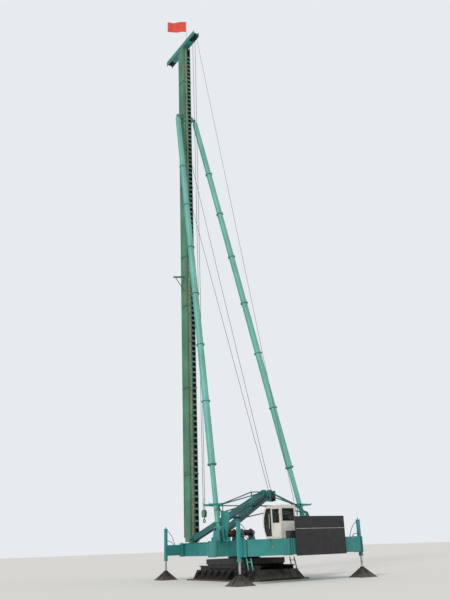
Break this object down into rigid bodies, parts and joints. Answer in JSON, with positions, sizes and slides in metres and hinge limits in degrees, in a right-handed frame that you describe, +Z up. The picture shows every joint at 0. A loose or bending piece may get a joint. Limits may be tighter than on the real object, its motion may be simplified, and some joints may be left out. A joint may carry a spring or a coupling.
{
  "type": "walking pile driver rig",
  "caption": "Walking pile driver rig: tall box mast with guide tubes and two telescopic stays on a low platform with four jack legs, a slewing shoe, cab, winches and raising gantry.",
  "frame": {"origin": "on the ground, at the middle of the machine's length and width", "axes": "+X forward to the mast, +Y to the machine's left, +Z up"},
  "size_m": [12.76, 8.1, 39.34],
  "materials": {
    "platform_paint": "satin teal-green paint, dusty",
    "tube_paint": "light teal-green paint, dusty",
    "mast_paint": "satin green paint, weathered",
    "base_black": "black paint with dried mud",
    "rod_steel": "ground and plated rod",
    "cab_paint": "off-white gloss paint",
    "cab_glass": "tinted safety glass",
    "seat_fabric": "dark woven seat cover",
    "board_black": "matt black sheet steel",
    "cabinet_paint": "black powder coat",
    "drum_steel": "worn steel with wire rope",
    "sheave_iron": "dark cast iron, greasy groove",
    "block_paint": "pale green paint, chipped",
    "pole_steel": "galvanised tube",
    "flag_cloth": "plain red bunting"
  },
  "bodies": {
    "platform": {"body": "platform_paint", "mast_bracket": "platform_paint", "arm_lugs": "platform_paint", "mid_arms": "platform_paint", "stay_feet": "platform_paint", "rear_arms": "platform_paint", "rear_sleeves": "platform_paint", "slew_ring": "base_black", "gantry": "platform_paint", "gantry_ties": "platform_paint", "cab_shell": "cab_paint", "cab_glass": "cab_glass", "cab_seat": "seat_fabric", "rear_board": "board_black", "power_cabinet": "cabinet_paint", "tool_box": "cabinet_paint", "hydraulic_unit": "platform_paint", "winch_frames": "platform_paint"},
    "cab_door": {"cab_door": "cab_paint", "door_glass": "cab_glass"},
    "main_drum": {"main_drum": "drum_steel"},
    "aux_drum": {"aux_drum": "drum_steel"},
    "gantry_sheave": {"gantry_sheave": "sheave_iron"},
    "bogie": {"bogie": "base_black"},
    "shoe": {"shoe": "base_black"},
    "arm_left": {"front_arm_left": "platform_paint"},
    "arm_right": {"front_arm_right": "platform_paint"},
    "leg_front_left": {"leg_rod_front_left": "rod_steel", "foot_front_left": "base_black"},
    "leg_front_right": {"leg_rod_front_right": "rod_steel", "foot_front_right": "base_black"},
    "leg_rear_left": {"leg_rod_rear_left": "rod_steel", "foot_rear_left": "base_black"},
    "leg_rear_right": {"leg_rod_rear_right": "rod_steel", "foot_rear_right": "base_black"},
    "mast": {"mast_lower": "mast_paint", "mast_middle": "mast_paint", "mast_upper": "mast_paint", "mast_top": "mast_paint", "guide_rails": "mast_paint", "stay_yoke": "mast_paint", "hose_bracket": "mast_paint", "head_beam": "platform_paint", "flagpole": "pole_steel", "flag": "flag_cloth"},
    "head_sheave_front": {"head_sheave_front": "sheave_iron"},
    "head_sheave_rear": {"head_sheave_rear": "sheave_iron"},
    "hook_block": {"hook_block": "block_paint"},
    "stay_tube_left": {"stay_tube_left": "tube_paint"},
    "stay_tube_right": {"stay_tube_right": "tube_paint"},
    "stay_rod_left": {"stay_rod_left": "tube_paint"},
    "stay_rod_right": {"stay_rod_right": "tube_paint"}
  },
  "joints": [
    {"name": "mast_rake", "type": "hinge", "parent": "platform", "child": "mast", "pos_m": [4.03, 0, 1.56], "axis": [0, 1, 0], "range_deg": [-3, 2]},
    {"name": "stay_swing_left", "type": "hinge", "parent": "mast", "child": "stay_tube_left", "pos_m": [3.97, 0.678, 30.73], "axis": [0.5437, 0.8393, 0], "range_deg": [-0.2, 0.2]},
    {"name": "stay_swing_right", "type": "hinge", "parent": "mast", "child": "stay_tube_right", "pos_m": [3.97, -0.678, 30.73], "axis": [-0.5437, 0.8393, 0], "range_deg": [-0.2, 0.2]},
    {"name": "stay_reach_left", "type": "slide", "parent": "stay_tube_left", "child": "stay_rod_left", "axis": [-0.2366, 0.0691, -0.9692], "range_m": [-0.4, 0.3]},
    {"name": "stay_reach_right", "type": "slide", "parent": "stay_tube_right", "child": "stay_rod_right", "axis": [-0.2366, -0.0691, -0.9692], "range_m": [-0.4, 0.3]},
    {"name": "slewing", "type": "hinge", "parent": "platform", "child": "bogie", "pos_m": [-1.17, 0, 1], "axis": [0, 0, 1], "continuous": true},
    {"name": "walking_slide", "type": "slide", "parent": "bogie", "child": "shoe", "axis": [1, 0, 0], "range_m": [-0.8, 0.8]},
    {"name": "arm_swing_left", "type": "hinge", "parent": "platform", "child": "arm_left", "pos_m": [3.36, 1.09, 1.5], "axis": [0, 0, -1], "range_deg": [0, 85]},
    {"name": "arm_swing_right", "type": "hinge", "parent": "platform", "child": "arm_right", "pos_m": [3.36, -1.09, 1.5], "axis": [0, 0, 1], "range_deg": [0, 85]},
    {"name": "jack_front_left", "type": "slide", "parent": "arm_left", "child": "leg_front_left", "axis": [0, 0, -1], "range_m": [-0.35, 0.5]},
    {"name": "jack_front_right", "type": "slide", "parent": "arm_right", "child": "leg_front_right", "axis": [0, 0, -1], "range_m": [-0.35, 0.5]},
    {"name": "jack_rear_left", "type": "slide", "parent": "platform", "child": "leg_rear_left", "axis": [0, 0, -1], "range_m": [-0.35, 0.5]},
    {"name": "jack_rear_right", "type": "slide", "parent": "platform", "child": "leg_rear_right", "axis": [0, 0, -1], "range_m": [-0.35, 0.5]},
    {"name": "cab_door_hinge", "type": "hinge", "parent": "platform", "child": "cab_door", "pos_m": [-5.214, 0.74, 2.5], "axis": [0, 0, 1], "range_deg": [0, 100]},
    {"name": "main_drum_spin", "type": "hinge", "parent": "platform", "child": "main_drum", "pos_m": [0.2, 0, 2.22], "axis": [0, 1, 0], "continuous": true},
    {"name": "aux_drum_spin", "type": "hinge", "parent": "platform", "child": "aux_drum", "pos_m": [-1.4, 0, 2.22], "axis": [0, 1, 0], "continuous": true},
    {"name": "gantry_sheave_spin", "type": "hinge", "parent": "platform", "child": "gantry_sheave", "pos_m": [-3.67, 0, 3.8], "axis": [0, 1, 0], "continuous": true},
    {"name": "front_sheave_spin", "type": "hinge", "parent": "mast", "child": "head_sheave_front", "pos_m": [6.03, 0, 37.11], "axis": [0, 1, 0], "continuous": true},
    {"name": "rear_sheave_spin", "type": "hinge", "parent": "mast", "child": "head_sheave_rear", "pos_m": [2.67, 0, 37.11], "axis": [0, 1, 0], "continuous": true},
    {"name": "hook_hoist", "type": "slide", "parent": "mast", "child": "hook_block", "axis": [0, 0, 1], "range_m": [-0.3, 30]}
  ],
  "couplings": [
    {"joint": "stay_swing_left", "follows": "mast_rake", "ratio": -0.03143},
    {"joint": "stay_swing_right", "follows": "mast_rake", "ratio": -0.03143},
    {"joint": "stay_reach_left", "follows": "mast_rake", "m_per_rad": 6.967},
    {"joint": "stay_reach_right", "follows": "mast_rake", "m_per_rad": 6.967}
  ]
}
